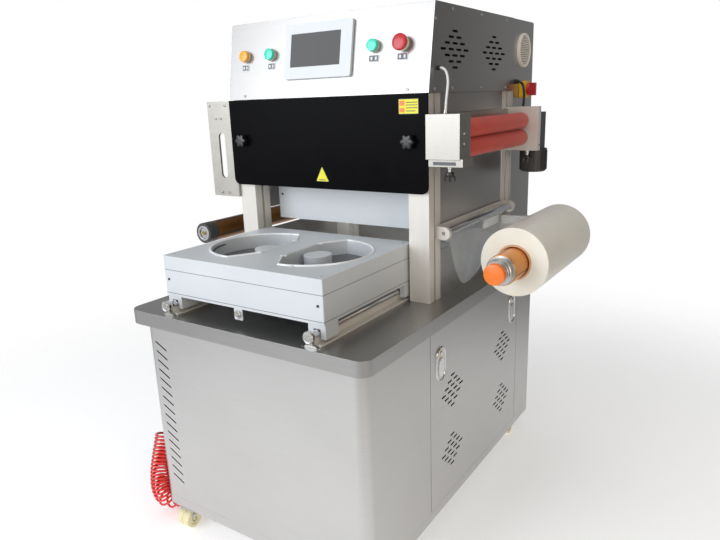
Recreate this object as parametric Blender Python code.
"""A floor-standing cup and tray sealer: a wheeled cabinet, a lower mould that slides in and out
on two rails, a heated upper die pressed down by a cylinder, a film roll with its feed rollers
on the right and a rewind shaft on the left.

Every size below is in metres in machine coordinates: x runs right from the worktop's left edge,
y runs back from its front edge, and z runs up from the underside of the base frame. One empty
holds the whole machine, so that the origin is the middle of its outline on the floor.
"""

import math

import bmesh
import bpy
from mathutils import Matrix, Vector

# ------------------------------------------------------------------ driving sizes
SHEET = 0.002  # stainless sheet
GAP = 0.0003  # between pieces that touch
MERGE = 1e-5  # vertices closer than this are one
TURN = 2 * math.pi

WORK_W, WORK_D, WORK_Z = 0.706, 1.054, 0.566  # worktop: right edge, depth and height
WORK_X0, WORK_EDGE, WORK_R = -0.008, 0.036, 0.030  # its left edge, folded edge and corner radius
CASTER_H = 0.072  # floor to base frame

CAB_X0, CAB_X1 = 0.010, 0.680  # cabinet sides
CAB_Y0, CAB_Y1 = 0.029, 1.050  # cabinet front and rear
CAB_R = 0.026
BASE_H = 0.027
DOOR_Y0, DOOR_Y1 = 0.317, 0.905  # the lift-off panel between the two wrapped sheets
CAB_TOP = WORK_Z - SHEET - 2 * GAP  # the panels end inside the worktop's folded edge

MID_X = 0.346  # centre plane of posts, head and mould
POST_W, POST_D = 0.055, 0.059
POST_DX = 0.2735  # post centre from the centre plane
POST_FRONT_Y, POST_REAR_Y = 0.4085, 0.8620  # post centres
POST_OUT = POST_DX + POST_W / 2  # outer face of a post from the centre plane

HEAD_Z0, FOLD_Z, HEAD_Z1 = 1.0655, 1.1000, 1.2609
HEAD_HALF = 0.3068
HEAD_Y0, FOLD_Y, TOP_Y = 0.3696, 0.3745, 0.4035  # lower edge, fold and top edge of the fascia
COLUMN_Y0, COLUMN_Y1 = 0.892, 1.052  # electrical cabinet behind the head
PLATE_T = 0.025  # bridge plate that carries the press

MOULD_HALF, MOULD_Y0, MOULD_D = 0.240, 0.033, 0.380
MOULD_Z0, MOULD_SEAM, MOULD_Z1 = 0.611, 0.6755, 0.710
CARRIAGE_TRAVEL = 0.427
DIE_HALF, DIE_Z0, DIE_Z1, DIE_T = 0.230, 0.731, 0.871, 0.044
PRESS_TRAVEL = 0.016
DIE_Y0 = MOULD_Y0 + CARRIAGE_TRAVEL
DIE_MID_Y = DIE_Y0 + MOULD_D / 2

RAIL_DX, RAIL_Z = 0.217, 0.591  # rail shaft from the centre plane, and its height
RAIL_Y0, RAIL_Y1 = 0.022, 0.872
RAIL_R = 0.008

ROLL_X, ROLL_Z, ROLL_R = 0.825, 0.672, 0.083  # film roll
ROLL_Y0, ROLL_Y1 = 0.465, 0.830
SHAFT_R, BORE_R = 0.0365, 0.0380
WASTE_X, WASTE_Z, WASTE_R = -0.070, 0.692, 0.030
ARM_Y0, ARM_Y1 = 0.8350, 0.8500  # arms that carry both film shafts
HUB_R = 0.045

NIP_X, NIP_LOW_Z, NIP_HIGH_Z, NIP_R = 0.700, 0.9375, 0.9830, 0.0225
NIP_Y0, NIP_Y1 = 0.4105, 0.8370
GUIDE_X, GUIDE_Z, GUIDE_R = 0.668, 0.738, 0.010

FAN_Y, FAN_Z, FAN_R = 0.962, 1.178, 0.042
SWITCH_Y, SWITCH_Z = 0.960, 1.068
CASTER_DX, CASTER_Y0, CASTER_Y1 = 0.280, 0.070, 0.985
WHEEL_R, WHEEL_W, WHEEL_TRAIL = 0.025, 0.034, -0.018

# The outline on the floor runs from the waste arm's hub to the film roll.
LEFT_X = WASTE_X - HUB_R
RIGHT_X = ROLL_X + ROLL_R
ORIGIN = Vector(((LEFT_X + RIGHT_X) / 2, WORK_D / 2, -CASTER_H))

X, Y, Z = Vector((1, 0, 0)), Vector((0, 1, 0)), Vector((0, 0, 1))


# ------------------------------------------------------------------ materials
def finish_of(name, colour, metallic=0.0, roughness=0.5, alpha=1.0):
    """A Principled material with one colour, roughness and metallic value."""
    material = bpy.data.materials.new(name)
    material.use_nodes = True
    shader = material.node_tree.nodes["Principled BSDF"]
    shader.inputs["Base Color"].default_value = (*colour, 1.0)
    shader.inputs["Metallic"].default_value = metallic
    shader.inputs["Roughness"].default_value = roughness
    shader.inputs["Alpha"].default_value = alpha
    return material


def clear_scene():
    for obj in list(bpy.data.objects):
        bpy.data.objects.remove(obj, do_unlink=True)


clear_scene()
STAINLESS = finish_of("brushed_stainless", (0.42, 0.41, 0.40), 1.0, 0.34)
ANODISED = finish_of("clear_anodised_aluminium", (0.78, 0.79, 0.80), 0.6, 0.45)
WHITE_ALLOY = finish_of("sandblasted_aluminium", (0.80, 0.82, 0.84), 0.5, 0.5)
CHROME = finish_of("hard_chrome", (0.75, 0.75, 0.76), 1.0, 0.12)
STEEL = finish_of("bright_steel", (0.60, 0.60, 0.60), 1.0, 0.25)
BLACK_ACRYLIC = finish_of("black_acrylic", (0.01, 0.01, 0.012), 0.0, 0.12)
BLACK_PLASTIC = finish_of("black_phenolic", (0.02, 0.02, 0.02), 0.0, 0.4)
LIGHT_PLASTIC = finish_of("light_grey_abs", (0.75, 0.76, 0.76), 0.0, 0.4)
RED_PLASTIC = finish_of("red_plastic", (0.60, 0.02, 0.02), 0.0, 0.3)
GREEN_PLASTIC = finish_of("green_lens", (0.02, 0.45, 0.30), 0.0, 0.25)
YELLOW_PLASTIC = finish_of("yellow_lens", (0.85, 0.45, 0.03), 0.0, 0.25)
RED_SILICONE = finish_of("red_silicone", (0.62, 0.10, 0.06), 0.0, 0.45)
FILM = finish_of("film_roll_white", (0.88, 0.88, 0.82), 0.0, 0.35)
CLEAR_FILM = finish_of("clear_film", (0.90, 0.92, 0.94), 0.0, 0.1, 0.3)
GOLD = finish_of("gold_anodised", (0.55, 0.26, 0.05), 0.8, 0.35)
BRONZE = finish_of("bronze_anodised", (0.28, 0.14, 0.04), 0.7, 0.4)
NYLON = finish_of("cream_nylon", (0.85, 0.82, 0.65), 0.0, 0.5)
DARK_PAINT = finish_of("black_motor_paint", (0.04, 0.04, 0.04), 0.2, 0.45)
WHITE_PU = finish_of("white_pu_tube", (0.85, 0.86, 0.86), 0.0, 0.35)
RED_PU = finish_of("red_pu_tube", (0.80, 0.03, 0.02), 0.0, 0.3)
BLACK_PVC = finish_of("black_pvc", (0.02, 0.02, 0.02), 0.0, 0.5)


# ------------------------------------------------------------------ making pieces
def empty(name):
    holder = bpy.data.objects.new(name, None)
    bpy.context.scene.collection.objects.link(holder)
    return holder


MACHINE = empty("machine")
MACHINE.location = -ORIGIN


def add(name, bm, material, pivot=Vector((0, 0, 0)), smooth=False):
    """Makes an object of bm, with its origin on pivot and its faces pointing out."""
    bmesh.ops.remove_doubles(bm, verts=bm.verts, dist=MERGE)
    bmesh.ops.recalc_face_normals(bm, faces=bm.faces)
    bmesh.ops.translate(bm, verts=bm.verts, vec=-Vector(pivot))
    mesh = bpy.data.meshes.new(name)
    bm.to_mesh(mesh)
    bm.free()
    if smooth:
        mesh.shade_smooth()
        mesh.set_sharp_from_angle(angle=math.radians(35))
    obj = bpy.data.objects.new(name, mesh)
    obj.data.materials.append(material)
    obj.location = pivot
    obj.parent = MACHINE
    bpy.context.scene.collection.objects.link(obj)
    return obj


def fill_block(bm, low, high):
    """Adds a box between two corners to bm."""
    low, high = Vector(low), Vector(high)
    size, middle = high - low, (high + low) / 2
    place = Matrix.Translation(middle) @ Matrix.Diagonal((*size, 1))
    bmesh.ops.create_cube(bm, size=1, matrix=place)


def fill_prism(bm, outline, start, along, u, v):
    """Adds a prism to bm: a closed outline of (u, v) points, swept by the vector along."""
    ring = [bm.verts.new(Vector(start) + a * u + b * v) for a, b in outline]
    face = bm.faces.new(ring)
    grown = bmesh.ops.extrude_face_region(bm, geom=[face])["geom"]
    moved = [item for item in grown if isinstance(item, bmesh.types.BMVert)]
    bmesh.ops.translate(bm, verts=moved, vec=along)


def fill_turned(bm, profile, centre, axis, sides=40):
    """Adds a turned solid to bm. profile is a closed loop of (radius, distance along axis)."""
    axis = Vector(axis).normalized()
    across = axis.orthogonal().normalized()
    points = [Vector(centre) + r * across + h * axis for r, h in profile]
    verts = [bm.verts.new(p) for p in points]
    edges = [bm.edges.new((verts[i], verts[i - 1])) for i in range(len(verts))]
    bmesh.ops.spin(bm, geom=verts + edges, cent=centre, axis=axis, angle=TURN, steps=sides)
    bmesh.ops.remove_doubles(bm, verts=bm.verts, dist=MERGE)
    loose = [edge for edge in bm.edges if not edge.link_faces]
    bmesh.ops.delete(bm, geom=loose, context="EDGES")


def block(name, low, high, material, pivot=(0, 0, 0)):
    bm = bmesh.new()
    fill_block(bm, low, high)
    return add(name, bm, material, pivot)


def prism(name, outline, start, along, u, v, material, pivot=(0, 0, 0), smooth=False):
    bm = bmesh.new()
    fill_prism(bm, outline, start, along, u, v)
    return add(name, bm, material, pivot, smooth)


def turned(name, profile, centre, axis, material, sides=40):
    bm = bmesh.new()
    fill_turned(bm, profile, centre, axis, sides)
    return add(name, bm, material, centre, smooth=True)


def rod(radius, start, end):
    """The profile of a plain round bar."""
    return [(0, start), (radius, start), (radius, end), (0, end)]


def boolean(obj, helper, operation):
    """Joins helper to obj or cuts it away, and hides the helper."""
    helper.hide_render = True
    helper.display_type = "WIRE"
    change = obj.modifiers.new(helper.name, "BOOLEAN")
    change.operation = operation
    change.solver = "EXACT"
    change.object = helper
    return obj


def cut(obj, fill, *args, **kwargs):
    """Cuts away from obj the solid that fill makes."""
    bm = bmesh.new()
    fill(bm, *args, **kwargs)
    return boolean(obj, add(obj.name + "_cutter", bm, STEEL), "DIFFERENCE")


def join(obj, fill, *args, **kwargs):
    """Joins to obj the solid that fill makes."""
    bm = bmesh.new()
    fill(bm, *args, **kwargs)
    return boolean(obj, add(obj.name + "_joined", bm, STEEL), "UNION")


def arc(cx, cy, radius, start, end, steps=6, ry=None):
    """Points on an arc between two angles in degrees."""
    ry = radius if ry is None else ry
    angles = [math.radians(start + (end - start) * i / steps) for i in range(steps + 1)]
    return [(cx + radius * math.cos(a), cy + ry * math.sin(a)) for a in angles]


def rounded(x0, y0, x1, y1, radius, steps=5):
    """A rectangle with round corners."""
    return (
        arc(x0 + radius, y0 + radius, radius, 180, 270, steps)
        + arc(x1 - radius, y0 + radius, radius, 270, 360, steps)
        + arc(x1 - radius, y1 - radius, radius, 0, 90, steps)
        + arc(x0 + radius, y1 - radius, radius, 90, 180, steps)
    )


def slot_outline(cu, cv, length, height, lean=0.0):
    """A slot with cut corners, lengthwise along u, leaning down by lean at its far end."""
    a, b = length / 2, height / 2
    corners = [(-a, 0), (-a + b, -b), (a - b, -b), (a, 0), (a - b, b), (-a + b, b)]
    return [(cu + p, cv + q - lean * p / a) for p, q in corners]


VENT_ROWS = (1, 2, 3, 4, 3, 2, 1)


def diamond(cu, cv, pitch_u, pitch_v, length, height):
    """The slots of one diamond-shaped vent."""
    slots = []
    for row, count in enumerate(VENT_ROWS):
        v = cv + (row - (len(VENT_ROWS) - 1) / 2) * pitch_v
        for k in range(count):
            u = cu + (k - (count - 1) / 2) * pitch_u
            slots.append(slot_outline(u, v, length, height))
    return slots


def pierced_plate(name, outline, holes, start, along, u, v, material, pivot=(0, 0, 0)):
    """A flat plate with openings: a filled curve with holes, given its thickness."""
    curve = bpy.data.curves.new(name + "_outline", "CURVE")
    curve.dimensions = "2D"
    curve.fill_mode = "BOTH"
    for points in [outline, *holes]:
        spline = curve.splines.new("POLY")
        spline.points.add(len(points) - 1)
        for point, (a, b) in zip(spline.points, points):
            point.co = (a, b, 0, 1)
        spline.use_cyclic_u = True
    flat = bpy.data.objects.new(name + "_outline", curve)
    bm = bmesh.new()
    bm.from_mesh(flat.to_mesh())
    flat.to_mesh_clear()
    bpy.data.objects.remove(flat)
    for vert in bm.verts:
        vert.co = Vector(start) + vert.co.x * u + vert.co.y * v
    bmesh.ops.remove_doubles(bm, verts=bm.verts, dist=MERGE)
    bmesh.ops.recalc_face_normals(bm, faces=bm.faces)
    grown = bmesh.ops.extrude_face_region(bm, geom=bm.faces[:])["geom"]
    moved = [item for item in grown if isinstance(item, bmesh.types.BMVert)]
    bmesh.ops.translate(bm, verts=moved, vec=along)
    return add(name, bm, material, pivot)


def smooth_route(points, per_span):
    """Points along a smooth curve through the given ones, evenly eased between them."""
    ends = [2 * points[0] - points[1], *points, 2 * points[-1] - points[-2]]
    route = []
    for i in range(1, len(ends) - 2):
        a, b, c, d = ends[i - 1 : i + 3]
        for k in range(per_span):
            t = k / per_span
            route.append(
                0.5 * (2 * b + (c - a) * t + (2 * a - 5 * b + 4 * c - d) * t**2
                       + (3 * b - a - 3 * c + d) * t**3)
            )
    return [*route, points[-1]]


def tube(name, points, radius, per_span, resolution, material):
    """A plain round cord along a smooth curve through points."""
    route = smooth_route([Vector(p) for p in points], per_span)
    curve = bpy.data.curves.new(name, "CURVE")
    curve.dimensions = "3D"
    curve.bevel_depth = radius
    curve.bevel_resolution = resolution
    curve.use_fill_caps = True
    spline = curve.splines.new("POLY")
    spline.points.add(len(route) - 1)
    for point, place in zip(spline.points, route):
        point.co = (*place, 1)
    obj = bpy.data.objects.new(name, curve)
    curve.materials.append(material)
    obj.parent = MACHINE
    bpy.context.scene.collection.objects.link(obj)
    return obj


# ------------------------------------------------------------------ cabinet
def make_base_frame():
    """Box-section ring under the cabinet with the floor sheet on it, open below."""
    rail = 0.090
    outline = rounded(CAB_X0, CAB_Y0, CAB_X1, CAB_Y1, CAB_R)
    base = prism("base_frame", outline, (0, 0, 0), BASE_H * Z, X, Y, STAINLESS)
    low = (CAB_X0 + rail, CAB_Y0 + rail, -0.01)
    high = (CAB_X1 - rail, CAB_Y1 - rail, BASE_H - 0.003)
    cut(base, fill_block, low, high)


def wrap_outline(y_corner, y_end):
    """Plan of a sheet that wraps round one end of the cabinet, from side to side."""
    sign = 1 if y_end > y_corner else -1
    outer = arc(CAB_X0 + CAB_R, CAB_R, CAB_R, 180, 270) + arc(CAB_X1 - CAB_R, CAB_R, CAB_R, 270, 360)
    inner = arc(CAB_X1 - CAB_R, CAB_R, CAB_R - SHEET, 360, 270)
    inner += arc(CAB_X0 + CAB_R, CAB_R, CAB_R - SHEET, 270, 180)
    reach = abs(y_end - y_corner)
    ends = [(CAB_X1, reach), (CAB_X1 - SHEET, reach)]
    loop = [(CAB_X0, reach), *outer, *ends, *inner, (CAB_X0 + SHEET, reach)]
    return [(x, y_corner + sign * y) for x, y in loop]


def make_cabinet_sheets():
    foot = BASE_H + GAP
    height = (CAB_TOP - foot) * Z
    front = prism("cabinet_front", wrap_outline(CAB_Y0, DOOR_Y0), (0, 0, foot), height, X, Y, STAINLESS)
    louvres = bmesh.new()
    top_z, pitch, count = 0.468, 0.0253, 16
    for i in range(count):
        outline = slot_outline(0.062 + 0.0005 * i, top_z - pitch * i, 0.040, 0.0045, lean=0.010)
        fill_prism(louvres, outline, (0, CAB_Y0 - 0.01, 0), 0.03 * Y, X, Z)
    boolean(front, add("cabinet_front_cutter", louvres, STEEL), "DIFFERENCE")
    prism("cabinet_rear", wrap_outline(CAB_Y1, DOOR_Y1), (0, 0, foot), height, X, Y, STAINLESS)


def make_side_panel(name, x0, vent_heights, pivot):
    """A flat panel between the wrapped sheets, with two diamond vents at each height."""
    edge, foot = 0.0015, BASE_H + 2 * GAP
    top = WORK_Z - WORK_EDGE - 0.001  # it lifts off sideways under the worktop's edge
    outline = [(DOOR_Y0 + edge, foot), (DOOR_Y1 - edge, foot), (DOOR_Y1 - edge, top), (DOOR_Y0 + edge, top)]
    vents = []
    for y in (0.441, 0.785):
        for z in vent_heights:
            vents += diamond(y, z, 0.034, 0.0142, 0.025, 0.0052)
    pierced_plate(name, outline, vents, (x0, 0, 0), SHEET * X, Y, Z, STAINLESS, pivot)


def make_worktop():
    top = prism(
        "worktop",
        rounded(WORK_X0, 0, WORK_W, WORK_D, WORK_R),
        (0, 0, WORK_Z - WORK_EDGE),
        WORK_EDGE * Z,
        X,
        Y,
        STAINLESS,
    )
    inside = rounded(WORK_X0 + SHEET, SHEET, WORK_W - SHEET, WORK_D - SHEET, WORK_R - SHEET)
    hollow_h = WORK_EDGE - SHEET + 0.01
    cut(top, fill_prism, inside, (0, 0, WORK_Z - WORK_EDGE - 0.01), hollow_h * Z, X, Y)


def make_caster(name, x, y):
    """A swivel fork with its plate, and a twin wheel on its axle."""
    hub_z = WHEEL_R - CASTER_H
    plate_top = -GAP
    plate_t, stem_r = 0.004, 0.014
    cheek, gap = 0.003, 0.0012
    half = WHEEL_W / 2 + gap
    wheel_y = y + WHEEL_TRAIL
    bm = bmesh.new()
    fill_turned(bm, rod(0.024, 0, plate_t), (x, y, plate_top - plate_t), Z, 24)
    fork = add(name + "_fork", bm, STEEL, (x, y, plate_top), smooth=True)
    crown_z = hub_z + WHEEL_R + 0.003
    join(fork, fill_turned, rod(stem_r, 0, plate_top - crown_z - 0.002), (x, y, crown_z), Z, 24)
    bridge = bmesh.new()
    fill_block(bridge, (x - half - cheek, wheel_y - 0.010, crown_z - 0.001),
               (x + half + cheek, y + 0.013, crown_z + 0.004))
    boolean(fork, add(name + "_bridge", bridge, STEEL), "UNION")
    for side in (-1, 1):
        legs = bmesh.new()
        inner = x + side * half
        outline = [(-0.008, 0.0), (-0.010, crown_z - hub_z + 0.003), (0.010, crown_z - hub_z + 0.003),
                   (0.008, 0.0), *arc(0, 0, 0.008, 0, -180, 6)[1:-1]]
        fill_prism(legs, outline, (inner, wheel_y, hub_z), side * cheek * X, Y, Z)
        boolean(fork, add(f"{name}_leg_{side}", legs, STEEL), "UNION")
        bore = bmesh.new()
        fill_turned(bore, rod(0.0043, -0.01, 0.01), (inner, wheel_y, hub_z), X, 16)
        boolean(fork, add(f"{name}_bore_{side}", bore, STEEL), "DIFFERENCE")
    w, r, groove = WHEEL_W / 2, WHEEL_R, 0.0015
    profile = [(0, -half - cheek), (0.004, -half - cheek), (0.004, -w), (r - 0.004, -w), (r, -w + 0.004),
               (r, -groove), (r - 0.006, 0), (r, groove), (r, w - 0.004), (r - 0.004, w),
               (0.004, w), (0.004, half + cheek), (0, half + cheek)]
    turned(name + "_wheel", profile, (x, wheel_y, hub_z), X, NYLON, 24)


# ------------------------------------------------------------------ frame and head
def post_outline(cx, cy):
    """Square section with a T-slot in each side face."""
    w, d = POST_W / 2, POST_D / 2
    mouth, lip, wide, deep = 0.004, 0.0022, 0.008, 0.012
    right = [(w, -d), (w, -mouth), (w - lip, -mouth), (w - lip, -wide), (w - deep, -mouth),
             (w - deep, mouth), (w - lip, wide), (w - lip, mouth), (w, mouth), (w, d)]
    left = [(-x, -y) for x, y in right]
    return [(cx + x, cy + y) for x, y in right + left]


def make_posts():
    length = HEAD_Z0 - WORK_Z - 2 * GAP
    for row, cy in (("front", POST_FRONT_Y), ("rear", POST_REAR_Y)):
        for side, sign in (("left", -1), ("right", 1)):
            outline = post_outline(MID_X + sign * POST_DX, cy)
            start = (0, 0, WORK_Z + GAP)
            prism(f"post_{row}_{side}", outline, start, length * Z, X, Y, ANODISED)


SLOPE = Vector((0, TOP_Y - FOLD_Y, HEAD_Z1 - FOLD_Z)).normalized()
OUTWARD = Vector((0, -SLOPE.z, SLOPE.y))


def on_fascia(x, s, h=0.0):
    """A point on the sloped fascia: s up from its fold, h out from its face."""
    return Vector((x, FOLD_Y, FOLD_Z)) + s * SLOPE + h * OUTWARD


BUTTONS = (("yellow", 0.099, YELLOW_PLASTIC), ("green_left", 0.187, GREEN_PLASTIC),
           ("green_right", 0.503, GREEN_PLASTIC))
BUTTON_S, ESTOP_X = 0.076, 0.580


def make_head():
    half = HEAD_HALF - SHEET - GAP
    shift = SHEET * 1.02
    fascia = [(HEAD_Y0, HEAD_Z0), (FOLD_Y, FOLD_Z), (TOP_Y, HEAD_Z1), (COLUMN_Y1, HEAD_Z1)]
    inner = [(COLUMN_Y1, HEAD_Z1 - SHEET), (TOP_Y + shift, HEAD_Z1 - SHEET)]
    inner += [(FOLD_Y + shift, FOLD_Z), (HEAD_Y0 + shift, HEAD_Z0)]
    start = (MID_X - half, 0, 0)
    cover = prism("head_cover", fascia + inner, start, 2 * half * X, Y, Z, STAINLESS)
    holes = bmesh.new()
    for x in [x for _, x, _ in BUTTONS] + [ESTOP_X]:
        fill_turned(holes, rod(0.0068, -0.012, 0.012), on_fascia(x, BUTTON_S), OUTWARD, 20)
    boolean(cover, add("head_cover_cutter", holes, STEEL), "DIFFERENCE")

    side = [(HEAD_Y0, HEAD_Z0), (COLUMN_Y0 - GAP, HEAD_Z0), (COLUMN_Y0 - GAP, HEAD_Z1)]
    side += [(TOP_Y, HEAD_Z1), (FOLD_Y, FOLD_Z)]
    vents = diamond(0.505, 1.162, 0.041, 0.0136, 0.030, 0.0055)
    vents += diamond(0.745, 1.162, 0.041, 0.0136, 0.030, 0.0055)
    hose_hole = [arc(0.412, 1.1186, 0.0042, 0, 360, 12)[:-1]]
    for name, x, holes in (("right", MID_X + HEAD_HALF - SHEET, vents + hose_hole),
                           ("left", MID_X - HEAD_HALF, vents)):
        pierced_plate("head_side_" + name, side, holes, (x, 0, 0), SHEET * X, Y, Z, STAINLESS)

    low = (MID_X - POST_OUT, POST_FRONT_Y - POST_D / 2, HEAD_Z0)
    high = (MID_X + POST_OUT, COLUMN_Y0 - 0.002, HEAD_Z0 + PLATE_T)
    bridge = block("bridge_plate", low, high, ANODISED)
    cut(bridge, fill_turned, rod(0.028, -0.01, PLATE_T + 0.01), (MID_X, DIE_MID_Y, HEAD_Z0), Z, 32)


def make_electrical_cabinet():
    """A tall four-walled case behind the head, closed above by the head cover."""
    x0, x1 = MID_X - HEAD_HALF, MID_X + HEAD_HALF
    foot, top = WORK_Z + GAP, HEAD_Z1 - SHEET - GAP
    case = block("electrical_cabinet", (x0, COLUMN_Y0, foot), (x1, COLUMN_Y1, top), STAINLESS)
    low = (x0 + SHEET, COLUMN_Y0 + SHEET, foot - 0.01)
    cut(case, fill_block, low, (x1 - SHEET, COLUMN_Y1 - SHEET, top + 0.01))
    openings = bmesh.new()
    fill_turned(openings, rod(FAN_R, -0.01, 0.01), (x1, FAN_Y, FAN_Z), X, 36)
    fill_turned(openings, rod(0.0065, -0.01, 0.01), (x1, SWITCH_Y, SWITCH_Z), X, 16)
    fill_turned(openings, rod(0.0045, -0.01, 0.01), (x1, 0.905, 1.090), X, 12)
    boolean(case, add("electrical_cabinet_openings", openings, STEEL), "DIFFERENCE")


def make_fan_rotor():
    """Seven blades on a hub, just inside the side wall."""
    centre = (MID_X + HEAD_HALF - 0.022, FAN_Y, FAN_Z)
    rotor = turned("fan_rotor", rod(0.018, -0.010, 0.010), centre, X, BLACK_PLASTIC, 28)
    blades = 7
    for i in range(blades):
        turn = Matrix.Rotation(TURN * i / blades, 4, X) @ Matrix.Rotation(math.radians(38), 4, Z)
        blade = bmesh.new()
        fill_block(blade, (-0.0012, -0.010, 0.015), (0.0012, 0.010, 0.038))
        bmesh.ops.transform(blade, matrix=Matrix.Translation(centre) @ turn, verts=blade.verts)
        boolean(rotor, add(f"fan_blade_{i}", blade, BLACK_PLASTIC), "UNION")


def make_screen(side, x0):
    """The sheet between two posts, with the slot that the film runs through."""
    y0 = POST_FRONT_Y + POST_D / 2 + GAP
    y1 = POST_REAR_Y - POST_D / 2 - GAP
    outline = [(y0, WORK_Z + GAP), (y1, WORK_Z + GAP), (y1, HEAD_Z0 - GAP), (y0, HEAD_Z0 - GAP)]
    rim = 0.004
    film_slot = [(y0 + rim, 0.690), (y1 - rim, 0.690), (y1 - rim, 0.752), (y0 + rim, 0.752)]
    pierced_plate("screen_" + side, outline, [film_slot], (x0, 0, 0), SHEET * X, Y, Z, STAINLESS)


# ------------------------------------------------------------------ controls
def fascia_turned(name, profile, x, material, sides=36):
    """A turned piece that stands out of the fascia, with its origin on the face."""
    return turned(name, profile, on_fascia(x, BUTTON_S), OUTWARD, material, sides)


def make_controls():
    hmi_x, hmi_half, s0, s1, thick = 0.3400, 0.1025, 0.010, 0.144, 0.008
    outline = rounded(hmi_x - hmi_half, s0, hmi_x + hmi_half, s1, 0.005, 3)
    start = Vector((0, FOLD_Y, FOLD_Z)) + GAP * OUTWARD
    hmi = prism("hmi_panel", outline, start, thick * OUTWARD, X, SLOPE, LIGHT_PLASTIC)
    screen = [(hmi_x - 0.0835, s0 + 0.029), (hmi_x + 0.0695, s0 + 0.029),
              (hmi_x + 0.0695, s0 + 0.110), (hmi_x - 0.0835, s0 + 0.110)]
    face = start + (thick - 0.001) * OUTWARD
    cut(hmi, fill_prism, screen, face, 0.01 * OUTWARD, X, SLOPE)

    for name, x, lens in BUTTONS:
        cap = [(0, -0.010), (0.0060, -0.010), (0.0060, 0.0050), (0.0140, 0.0050),
               (0.0140, 0.0120), (0.0130, 0.0130), (0, 0.0130)]
        fascia_turned("button_" + name, cap, x, lens)
    head = [(0, -0.012), (0.0062, -0.012), (0.0062, 0.0120), (0.0150, 0.0130), (0.0185, 0.0150),
            (0.0190, 0.0200), (0.0175, 0.0235), (0.0120, 0.0255), (0, 0.0262)]
    fascia_turned("estop_head", head, ESTOP_X, RED_PLASTIC)

    guard_y = HEAD_Y0 - 0.0046
    outline = [(MID_X + HEAD_HALF, HEAD_Z0 - 0.001), (MID_X - HEAD_HALF, HEAD_Z0 - 0.001)]
    low, radius = 0.837, 0.018
    outline += arc(MID_X - HEAD_HALF + radius, low + radius, radius, 180, 270)
    outline += arc(MID_X + HEAD_HALF - radius, low + radius, radius, 270, 360)
    knob_x, knob_z = 0.260, 0.958
    holes = [arc(MID_X + s * knob_x, knob_z, 0.0046, 0, 360, 14)[:-1] for s in (-1, 1)]
    pierced_plate("front_guard", outline, holes, (0, guard_y, 0), 0.004 * Y, X, Z, BLACK_ACRYLIC)

    for side, sign in (("left", -1), ("right", 1)):
        centre = Vector((MID_X + sign * knob_x, guard_y - GAP, knob_z))
        lobes = 6
        star = []
        for i in range(lobes * 6):
            angle = TURN * i / (lobes * 6)
            radius = 0.0155 + 0.0020 * math.cos(lobes * angle)
            star.append((radius * math.cos(angle), radius * math.sin(angle)))
        knob = prism(f"guard_knob_{side}", star, centre - 0.018 * Y, 0.018 * Y, X, Z, BLACK_PLASTIC,
                     centre, smooth=True)
        stud = POST_FRONT_Y - POST_D / 2 - GAP - centre.y
        join(knob, fill_turned, rod(0.004, -0.005, stud), centre, Y, 16)

    spindle = (MID_X + HEAD_HALF, SWITCH_Y, SWITCH_Z)
    handle = turned("switch_handle", rod(0.0055, -0.008, 0.022), spindle, X, RED_PLASTIC, 24)
    join(handle, fill_turned, [(0, 0.0205), (0.0165, 0.0205), (0.0155, 0.0270), (0, 0.0270)], spindle, X, 28)
    grip = [(-0.006, -0.0180), (0.006, -0.0180), (0.006, 0.0180), (-0.006, 0.0180)]
    bar = bmesh.new()
    fill_prism(bar, grip, Vector(spindle) + 0.0240 * X, 0.0200 * X, Y, Z)
    boolean(handle, add("switch_handle_bar", bar, RED_PLASTIC), "UNION")


# ------------------------------------------------------------------ mould, carriage and press
def pot_outline(side, grow=0.0):
    """One pot: a chamfered flat side facing the middle and a round outer side."""
    flat_x, bend_x, reach = 0.036 - grow, 0.078, 0.215 + grow
    flat_y, half_y = 0.068 + grow / 2, 0.132 + grow
    right = [(flat_x, flat_y), (flat_x, -flat_y)]
    right += arc(bend_x, 0, reach - bend_x, -90, 90, 20, ry=half_y)
    mid_y = MOULD_Y0 + MOULD_D / 2
    return [(MID_X + side * x, mid_y + y) for x, y in right]


def make_mould():
    y1 = MOULD_Y0 + MOULD_D
    x0, x1 = MID_X - MOULD_HALF, MID_X + MOULD_HALF
    outline = rounded(x0, MOULD_Y0, x1, y1, 0.003, 2)
    pots = [pot_outline(side) for side in (-1, 1)]
    plate_t = (MOULD_Z1 - MOULD_SEAM) * Z
    pierced_plate("mould_plate", outline, pots, (0, 0, MOULD_SEAM), plate_t, X, Y, WHITE_ALLOY)

    foot = MOULD_Z0 + 0.006 + GAP
    box = prism("mould_box", outline, (0, 0, foot), (MOULD_SEAM - GAP - foot) * Z, X, Y, WHITE_ALLOY)
    wells = bmesh.new()
    for side in (-1, 1):
        fill_prism(wells, pot_outline(side), (0, 0, foot + 0.012), 0.08 * Z, X, Y)
    boolean(box, add("mould_box_wells", wells, STEEL), "DIFFERENCE")
    pillars = bmesh.new()
    for side in (-1, 1):
        centre = (MID_X + side * 0.078, MOULD_Y0 + 0.198, foot + 0.006)
        fill_turned(pillars, rod(0.034, 0, MOULD_Z1 - 0.008 - centre[2]), centre, Z, 36)
    boolean(box, add("mould_box_pillars", pillars, STEEL), "UNION")


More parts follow.
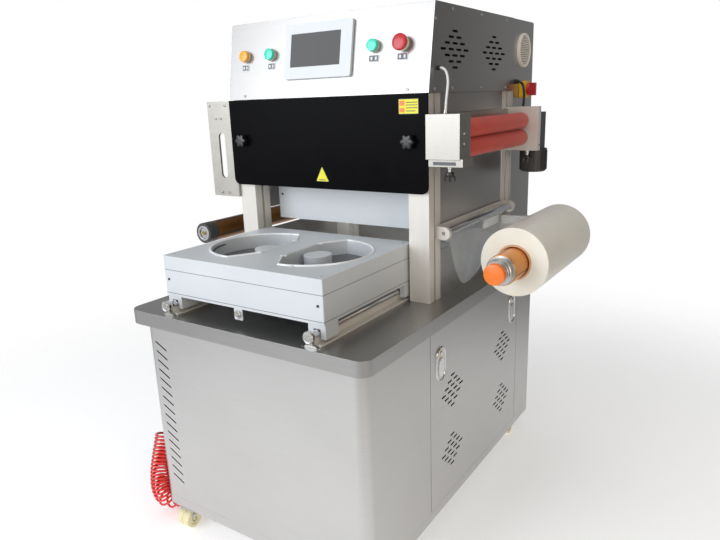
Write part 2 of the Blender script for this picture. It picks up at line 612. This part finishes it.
def make_carriage():
    """The plate under the mould, with four bearing blocks that straddle the rails."""
    y1 = MOULD_Y0 + MOULD_D
    low = (MID_X - MOULD_HALF, MOULD_Y0, MOULD_Z0)
    base = block("carriage_base", low, (MID_X + MOULD_HALF, y1, MOULD_Z0 + 0.006), ANODISED)
    length, half, slot = 0.045, 0.0225, 0.0092
    blocks = bmesh.new()
    for sign in (-1, 1):
        for y in (MOULD_Y0 + 0.004, y1 - 0.004 - length):
            x = MID_X + sign * RAIL_DX
            bottom, roof, top = RAIL_Z - 0.012, RAIL_Z + 0.0092, MOULD_Z0 + 0.002
            section = [(-half, bottom), (-slot, bottom), (-slot, roof), (slot, roof), (slot, bottom),
                       (half, bottom), (half, top), (-half, top)]
            fill_prism(blocks, section, (x, y, 0), length * Y, X, Z)
    boolean(base, add("carriage_base_blocks", blocks, ANODISED), "UNION")


def make_rails():
    foot_half, foot_t, web = 0.020, 0.005, 0.004
    for side, sign in (("left", -1), ("right", 1)):
        x = MID_X + sign * RAIL_DX
        z0 = WORK_Z + GAP
        section = [(-foot_half, 0), (foot_half, 0), (foot_half, foot_t), (web, foot_t),
                   (web, RAIL_Z - z0 - 0.005), (-web, RAIL_Z - z0 - 0.005), (-web, foot_t),
                   (-foot_half, foot_t)]
        rail = prism("rail_" + side, section, (x, RAIL_Y0, z0), (RAIL_Y1 - RAIL_Y0) * Y, X, Z, STEEL)
        join(rail, fill_turned, [(0, -0.010), (0.012, -0.010), (0.012, -0.004), (RAIL_R, -0.004),
                                 (RAIL_R, RAIL_Y1 - RAIL_Y0 + 0.004), (0, RAIL_Y1 - RAIL_Y0 + 0.004)],
             (x, RAIL_Y0, RAIL_Z), Y, 24)


def make_press():
    wall, y1 = 0.015, DIE_Y0 + MOULD_D
    low, high = (MID_X - DIE_HALF, DIE_Y0, DIE_Z0), (MID_X + DIE_HALF, y1, DIE_Z1)
    die = block("upper_die", low, high, WHITE_ALLOY)
    inner_low = (low[0] + wall, DIE_Y0 + wall, DIE_Z0 + DIE_T)
    cut(die, fill_block, inner_low, (high[0] - wall, y1 - wall, DIE_Z1 + 0.01))
    rod_base = DIE_Z0 + DIE_T - 0.005
    rod_top = HEAD_Z0 + PLATE_T + 0.075
    flange = [(0, 0), (0.060, 0), (0.060, 0.017), (0.022, 0.017), (0.022, rod_top - rod_base),
              (0, rod_top - rod_base)]
    join(die, fill_turned, flange, (MID_X, DIE_MID_Y, rod_base), Z, 32)

    foot = HEAD_Z0 + PLATE_T + GAP
    body, bore, height, roof = 0.0625, 0.0235, 0.140, 0.110
    profile = [(bore, 0), (0.080, 0), (0.080, 0.014), (body, 0.014), (body, height), (0, height),
               (0, roof), (bore, roof)]
    turned("press_cylinder", profile, (MID_X, DIE_MID_Y, foot), Z, ANODISED, 40)


# ------------------------------------------------------------------ film path
def bearing_arm(name, x, z, post_x, bore):
    """A plate from the rear post out to a film shaft, with a bearing hub round the shaft."""
    toward = 1 if x > post_x else -1
    flange_t = 0.008
    face = post_x + toward * GAP
    start = (0, ARM_Y0, 0)
    half = 0.038
    outline = [(face, z - half), (face, z + half), (x, z + HUB_R), (x, z - HUB_R)]
    arm = prism(name, outline, start, (ARM_Y1 - ARM_Y0) * Y, X, Z, ANODISED)
    join(arm, fill_turned, rod(HUB_R, 0, 0.035), (x, ARM_Y0, z), Y, 40)
    flange = bmesh.new()
    fill_block(flange, (min(face, face + toward * flange_t), ARM_Y0, z - half),
               (max(face, face + toward * flange_t), ARM_Y0 + 0.052, z + half))
    boolean(arm, add(name + "_flange", flange, ANODISED), "UNION")
    cut(arm, fill_turned, rod(bore, -0.01, 0.05), (x, ARM_Y0, z), Y, 40)


def make_film_side():
    bearing_arm("supply_arm", ROLL_X, ROLL_Z, MID_X + POST_OUT, 0.0155)
    bearing_arm("waste_arm", WASTE_X, WASTE_Z, MID_X - POST_OUT, 0.0155)

    front, rear = 0.340, ARM_Y0 + 0.042
    profile = [(0, front), (0.024, front), (0.026, front + 0.002), (0.026, front + 0.014),
               (0.031, front + 0.016), (0.031, front + 0.044), (SHAFT_R, front + 0.046),
               (SHAFT_R, ARM_Y0 - 0.001), (0.015, ARM_Y0 - 0.001), (0.015, rear), (0, rear)]
    turned("supply_shaft", profile, (ROLL_X, 0, ROLL_Z), Y, GOLD, 36)
    profile = [(BORE_R, ROLL_Y0), (ROLL_R, ROLL_Y0), (ROLL_R, ROLL_Y1), (BORE_R, ROLL_Y1)]
    turned("film_roll", profile, (ROLL_X, 0, ROLL_Z), Y, FILM, 64)

    front = 0.326
    profile = [(0, front + 0.003), (0.016, front + 0.003), (0.018, front), (WASTE_R - 0.002, front),
               (WASTE_R, front + 0.002), (WASTE_R, ARM_Y0 - 0.001), (0.015, ARM_Y0 - 0.001),
               (0.015, rear), (0, rear)]
    turned("waste_shaft", profile, (WASTE_X, 0, WASTE_Z), Y, BRONZE, 36)


def make_nip_unit():
    x0, x1 = MID_X + POST_OUT + GAP, 0.738
    z0, z1 = 0.9195, 1.0190
    box = block("nip_front_bracket", (0.6540, 0.350, z0), (x1, 0.4080, z1), ANODISED)
    join(box, fill_block, (x0, 0.3800, z0), (0.6600, 0.4330, z1))
    tie = bmesh.new()
    fill_block(tie, (0.6545, 0.4000, z1 - 0.0300), (0.6600, NIP_Y1 + 0.0010, z1 - 0.0020))
    boolean(box, add("nip_tie", tie, ANODISED), "UNION")
    foot = bmesh.new()
    fill_block(foot, (0.6600, 0.3520, z0 - 0.0160), (0.7450, 0.4040, z0 + 0.002))
    boolean(box, add("nip_foot", foot, ANODISED), "UNION")

    rear_y = NIP_Y1 + 0.0015
    rear = block("nip_rear_plate", (x0, rear_y, 0.9000), (0.7480, rear_y + 0.0220, 1.0210), WHITE_ALLOY)
    hole_r, axle_r, axle = 0.0075, 0.0065, 0.012
    for name, z, end in (("nip_roller_lower", NIP_LOW_Z, 0.030), ("nip_roller_upper", NIP_HIGH_Z, 0.016)):
        profile = [(0, NIP_Y0 - axle), (axle_r, NIP_Y0 - axle), (axle_r, NIP_Y0), (NIP_R - 0.002, NIP_Y0),
                   (NIP_R, NIP_Y0 + 0.002), (NIP_R, NIP_Y1 - 0.002), (NIP_R - 0.002, NIP_Y1),
                   (axle_r, NIP_Y1), (axle_r, NIP_Y1 + end), (0, NIP_Y1 + end)]
        turned(name, profile, (NIP_X, 0, z), Y, RED_SILICONE, 32)
        front_bore, rear_bore = bmesh.new(), bmesh.new()
        fill_turned(front_bore, rod(hole_r, NIP_Y0 - axle - 0.003, NIP_Y0 + 0.01), (NIP_X, 0, z), Y, 24)
        boolean(box, add(name + "_front_bore", front_bore, STEEL), "DIFFERENCE")
        fill_turned(rear_bore, rod(hole_r, rear_y - 0.01, rear_y + 0.05), (NIP_X, 0, z), Y, 24)
        boolean(rear, add(name + "_rear_bore", rear_bore, STEEL), "DIFFERENCE")

    case_y = rear_y + 0.0220 + GAP
    motor = block("feed_motor", (0.6620, case_y, 0.8970), (0.7380, case_y + 0.0750, 1.0040), DARK_PAINT)
    body = [(0, 0), (0.033, 0), (0.038, 0.005), (0.038, 0.066), (0, 0.066)]
    join(motor, fill_turned, body, (0.713, case_y + 0.0510, 0.8350), Z, 36)
    cut(motor, fill_turned, rod(hole_r + 0.001, -0.02, 0.020), (NIP_X, case_y, NIP_LOW_Z), Y, 24)


def make_film_guide():
    """A strip along the outside of the posts whose two ears hold the chrome guide roller."""
    x0 = MID_X + POST_OUT + GAP
    y0, y1 = 0.412, 0.851
    ear, strip_t = 0.012, 0.004
    z0, z1 = 0.7425, 0.7560
    guide = block("film_guide", (x0, y0, z0), (x0 + strip_t, y1, z1), ANODISED)
    for y in (y0, y1 - ear):
        outline = [(x0, z1 - 0.001), (x0, GUIDE_Z - 0.013)]
        outline += arc(GUIDE_X, GUIDE_Z, 0.0165, -100, 80, 10)
        lug = bmesh.new()
        fill_prism(lug, outline, (0, y, 0), ear * Y, X, Z)
        boolean(guide, add(f"film_guide_ear_{round(y * 1000)}", lug, ANODISED), "UNION")
        bore = bmesh.new()
        fill_turned(bore, rod(0.0048, -0.02, 0.03), (GUIDE_X, y, GUIDE_Z), Y, 20)
        boolean(guide, add(f"film_guide_bore_{round(y * 1000)}", bore, STEEL), "DIFFERENCE")
    a, b = y0 + ear + 0.0005, y1 - ear - 0.0005
    profile = [(0, y0), (0.004, y0), (0.004, a), (GUIDE_R, a), (GUIDE_R, b), (0.004, b), (0.004, y1), (0, y1)]
    turned("guide_roller", profile, (GUIDE_X, 0, GUIDE_Z), Y, CHROME, 32)


def make_slotted_plate():
    x0, x1, z0, z1, thick = -0.052, 0.0448, 0.800, 1.0640, 0.0065
    y0 = HEAD_Y0 + 0.0010
    long_slot = rounded(-0.017, 0.852, 0.007, 0.978, 0.0118, 6)
    holes = [long_slot]
    plate = pierced_plate("slotted_plate", [(x0, z0), (x1, z0), (x1, z1), (x0, z1)], holes,
                          (0, y0, 0), thick * Y, X, Z, ANODISED)
    post_face = MID_X - POST_OUT - GAP
    join(plate, fill_block, (post_face - 0.006, y0 + 0.001, z0), (post_face, y0 + 0.055, z1))


# ------------------------------------------------------------------ inside and soft pieces
def make_pump():
    """The vacuum pump with its motor, on the cabinet floor."""
    foot = BASE_H + GAP
    pump = block("vacuum_pump", (0.170, 0.420, foot + 0.014), (0.400, 0.640, foot + 0.235), DARK_PAINT)
    join(pump, fill_turned, rod(0.088, 0, 0.260), (0.395, 0.530, foot + 0.125), X, 36)
    feet = bmesh.new()
    for x in (0.185, 0.355):
        fill_block(feet, (x, 0.430, foot), (x + 0.030, 0.630, foot + 0.020))
    boolean(pump, add("vacuum_pump_feet", feet, DARK_PAINT), "UNION")


def make_soft_pieces():
    side_x = MID_X + HEAD_HALF
    tube("air_tube", [(side_x + 0.001, 0.4120, 1.1186), (side_x + 0.012, 0.4115, 1.1182),
                      (side_x + 0.023, 0.4095, 1.1100), (side_x + 0.030, 0.4050, 1.0900),
                      (side_x + 0.033, 0.3950, 1.0660), (side_x + 0.034, 0.3875, 1.0430),
                      (side_x + 0.034, 0.3850, 1.0205)], 0.0030, 5, 2, WHITE_PU)
    tube("motor_cable", [(side_x + 0.001, 0.9050, 1.0900), (side_x + 0.012, 0.9060, 1.0902),
                         (side_x + 0.023, 0.9070, 1.0810), (side_x + 0.028, 0.9060, 1.0600),
                         (side_x + 0.029, 0.9030, 1.0330), (side_x + 0.027, 0.9000, 1.0046)],
         0.0035, 6, 2, BLACK_PVC)
    side = CAB_X0 - 0.036
    tube("coil_hose", [(side, 0.0780, 0.1700), (side - 0.001, 0.0650, 0.1300), (side - 0.003, 0.0500, 0.0750),
                       (side - 0.004, 0.0460, 0.0200), (side - 0.003, 0.0600, -0.0200),
                       (side - 0.001, 0.0920, -0.0360), (side, 0.1300, -0.0280), (side, 0.1560, 0.0060),
                       (side, 0.1650, 0.0560)], 0.0310, 4, 3, RED_PU)

    tail = [(0.7440, 0.6920), (0.7200, 0.7050), (0.6990, 0.7120), (0.6850, 0.7140), (0.6700, 0.7165),
            (0.6500, 0.7190), (0.6200, 0.7200)]
    section = [*tail, *[(x, z - 0.0010) for x, z in reversed(tail)]]
    prism("film_tail", section, (0, ROLL_Y0 + 0.0050, 0), (ROLL_Y1 - ROLL_Y0 - 0.010) * Y, X, Z, CLEAR_FILM)


make_base_frame()
make_cabinet_sheets()
make_side_panel("service_panel", CAB_X1 - SHEET, (0.321, 0.150), (CAB_X1, (DOOR_Y0 + DOOR_Y1) / 2, 0.300))
make_side_panel("side_panel_left", CAB_X0, (0.400,), (0, 0, 0))
make_worktop()
for end, caster_y in (("front", CASTER_Y0), ("rear", CASTER_Y1)):
    for hand, sign in (("left", -1), ("right", 1)):
        make_caster(f"caster_{end}_{hand}", (CAB_X0 + CAB_X1) / 2 + sign * CASTER_DX, caster_y)
make_posts()
make_head()
make_electrical_cabinet()
make_fan_rotor()
make_screen("right", MID_X + POST_OUT - 0.004)
make_screen("left", MID_X - POST_OUT + 0.002)
make_controls()
make_mould()
make_carriage()
make_rails()
make_press()
make_film_side()
make_nip_unit()
make_film_guide()
make_slotted_plate()
make_pump()
make_soft_pieces()
